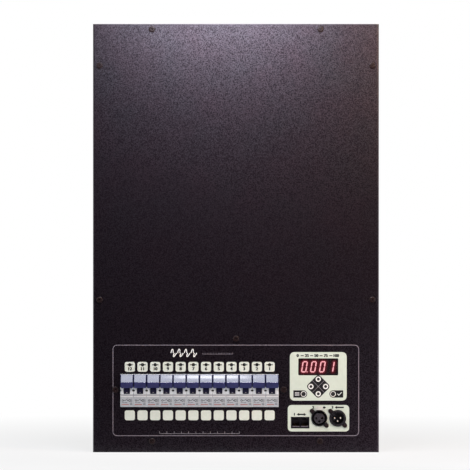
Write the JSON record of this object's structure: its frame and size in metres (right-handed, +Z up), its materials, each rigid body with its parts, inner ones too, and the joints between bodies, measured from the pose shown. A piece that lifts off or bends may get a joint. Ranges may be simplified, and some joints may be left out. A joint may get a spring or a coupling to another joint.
{
  "type": "dimmer pack",
  "caption": "Wall-mounted digital dimmer pack: black steel case with a row of circuit breakers, display with keys, and data sockets on the front.",
  "frame": {"origin": "middle of the bounding box in X and Y, at the underside of the case", "axes": "+X to the right seen from the front, +Y from the front cover to the back wall, +Z up"},
  "size_m": [0.39, 0.1616, 0.584],
  "materials": {
    "case_black": "fine textured black powder coat",
    "zinc_plated": "zinc plated sheet steel",
    "label_cream": "printed polycarbonate label, satin",
    "breaker_grey": "light grey thermoset moulding",
    "toggle_blue": "glossy dark blue moulding",
    "socket_black": "black moulding",
    "key_black": "black moulding",
    "latch_steel": "nickel plated",
    "lens_smoke": "smoke tinted clear acrylic",
    "display_black": "black display block with red segments",
    "board_green": "green circuit board with black parts",
    "heatsink_aluminium": "extruded, plain",
    "choke_yellow": "potted ring chokes",
    "fan_black": "black moulding",
    "terminal_black": "black moulding with plated screws",
    "transformer_iron": "varnished laminations",
    "busbar_copper": "bare copper strip",
    "rubber_black": "black rubber"
  },
  "bodies": {
    "case": {"rear_chassis": "case_black", "front_cover": "case_black", "gland_plate": "case_black", "partition_shelf": "zinc_plated", "din_rail": "zinc_plated", "rail_bracket_left": "zinc_plated", "rail_bracket_right": "zinc_plated", "display_overlay": "label_cream", "connector_overlay": "label_cream", "breaker_1": "breaker_grey", "breaker_2": "breaker_grey", "breaker_3": "breaker_grey", "breaker_4": "breaker_grey", "breaker_5": "breaker_grey", "breaker_6": "breaker_grey", "breaker_7": "breaker_grey", "breaker_8": "breaker_grey", "breaker_9": "breaker_grey", "breaker_10": "breaker_grey", "breaker_11": "breaker_grey", "breaker_12": "breaker_grey", "input_socket": "socket_black", "output_socket": "socket_black", "twin_jack": "socket_black", "display_lens": "lens_smoke", "display_block": "display_black", "control_board": "board_green", "connector_board": "board_green", "power_board": "board_green", "heatsink": "heatsink_aluminium", "choke_bank_1": "choke_yellow", "choke_bank_2": "choke_yellow", "choke_bank_3": "choke_yellow", "fan_frame": "fan_black", "supply_terminals": "terminal_black", "load_terminals": "terminal_black", "control_transformer": "transformer_iron", "feed_busbar": "busbar_copper", "mains_grommet": "rubber_black", "load_grommet": "rubber_black"},
    "toggle_1": {"toggle_1": "toggle_blue"},
    "toggle_2": {"toggle_2": "toggle_blue"},
    "toggle_3": {"toggle_3": "toggle_blue"},
    "toggle_4": {"toggle_4": "toggle_blue"},
    "toggle_5": {"toggle_5": "toggle_blue"},
    "toggle_6": {"toggle_6": "toggle_blue"},
    "toggle_7": {"toggle_7": "toggle_blue"},
    "toggle_8": {"toggle_8": "toggle_blue"},
    "toggle_9": {"toggle_9": "toggle_blue"},
    "toggle_10": {"toggle_10": "toggle_blue"},
    "toggle_11": {"toggle_11": "toggle_blue"},
    "toggle_12": {"toggle_12": "toggle_blue"},
    "button_up": {"button_up": "key_black"},
    "button_down": {"button_down": "key_black"},
    "button_left": {"button_left": "key_black"},
    "button_right": {"button_right": "key_black"},
    "button_menu": {"button_menu": "key_black"},
    "button_enter": {"button_enter": "key_black"},
    "socket_latch": {"output_socket_latch": "latch_steel"},
    "fan_rotor": {"fan_rotor": "fan_black"}
  },
  "joints": [
    {"name": "toggle_1_swing", "type": "hinge", "parent": "case", "child": "toggle_1", "pos_m": [0.0493, -0.06325, 0.0844], "axis": [1, 0, 0], "range_deg": [0, 58]},
    {"name": "toggle_2_swing", "type": "hinge", "parent": "case", "child": "toggle_2", "pos_m": [0.0313, -0.06325, 0.0844], "axis": [1, 0, 0], "range_deg": [0, 58]},
    {"name": "toggle_3_swing", "type": "hinge", "parent": "case", "child": "toggle_3", "pos_m": [0.0133, -0.06325, 0.0844], "axis": [1, 0, 0], "range_deg": [0, 58]},
    {"name": "toggle_4_swing", "type": "hinge", "parent": "case", "child": "toggle_4", "pos_m": [-0.0047, -0.06325, 0.0844], "axis": [1, 0, 0], "range_deg": [0, 58]},
    {"name": "toggle_5_swing", "type": "hinge", "parent": "case", "child": "toggle_5", "pos_m": [-0.0227, -0.06325, 0.0844], "axis": [1, 0, 0], "range_deg": [0, 58]},
    {"name": "toggle_6_swing", "type": "hinge", "parent": "case", "child": "toggle_6", "pos_m": [-0.0407, -0.06325, 0.0844], "axis": [1, 0, 0], "range_deg": [0, 58]},
    {"name": "toggle_7_swing", "type": "hinge", "parent": "case", "child": "toggle_7", "pos_m": [-0.0587, -0.06325, 0.0844], "axis": [1, 0, 0], "range_deg": [0, 58]},
    {"name": "toggle_8_swing", "type": "hinge", "parent": "case", "child": "toggle_8", "pos_m": [-0.0767, -0.06325, 0.0844], "axis": [1, 0, 0], "range_deg": [0, 58]},
    {"name": "toggle_9_swing", "type": "hinge", "parent": "case", "child": "toggle_9", "pos_m": [-0.0947, -0.06325, 0.0844], "axis": [1, 0, 0], "range_deg": [0, 58]},
    {"name": "toggle_10_swing", "type": "hinge", "parent": "case", "child": "toggle_10", "pos_m": [-0.1127, -0.06325, 0.0844], "axis": [1, 0, 0], "range_deg": [0, 58]},
    {"name": "toggle_11_swing", "type": "hinge", "parent": "case", "child": "toggle_11", "pos_m": [-0.1307, -0.06325, 0.0844], "axis": [1, 0, 0], "range_deg": [0, 58]},
    {"name": "toggle_12_swing", "type": "hinge", "parent": "case", "child": "toggle_12", "pos_m": [-0.1487, -0.06325, 0.0844], "axis": [1, 0, 0], "range_deg": [0, 58]},
    {"name": "button_up_press", "type": "slide", "parent": "case", "child": "button_up", "axis": [0, 1, 0], "range_m": [0, 0.0004], "stiffness_N_per_m": 300},
    {"name": "button_down_press", "type": "slide", "parent": "case", "child": "button_down", "axis": [0, 1, 0], "range_m": [0, 0.0004], "stiffness_N_per_m": 300},
    {"name": "button_left_press", "type": "slide", "parent": "case", "child": "button_left", "axis": [0, 1, 0], "range_m": [0, 0.0004], "stiffness_N_per_m": 300},
    {"name": "button_right_press", "type": "slide", "parent": "case", "child": "button_right", "axis": [0, 1, 0], "range_m": [0, 0.0004], "stiffness_N_per_m": 300},
    {"name": "button_menu_press", "type": "slide", "parent": "case", "child": "button_menu", "axis": [0, 1, 0], "range_m": [0, 0.0004], "stiffness_N_per_m": 300},
    {"name": "button_enter_press", "type": "slide", "parent": "case", "child": "button_enter", "axis": [0, 1, 0], "range_m": [0, 0.0004], "stiffness_N_per_m": 300},
    {"name": "socket_latch_press", "type": "slide", "parent": "case", "child": "socket_latch", "axis": [0, 1, 0], "range_m": [0, 0.0015], "stiffness_N_per_m": 300},
    {"name": "fan_spin", "type": "hinge", "parent": "case", "child": "fan_rotor", "pos_m": [0, 0.01875, 0.16], "axis": [0, 0, 1], "continuous": true}
  ]
}
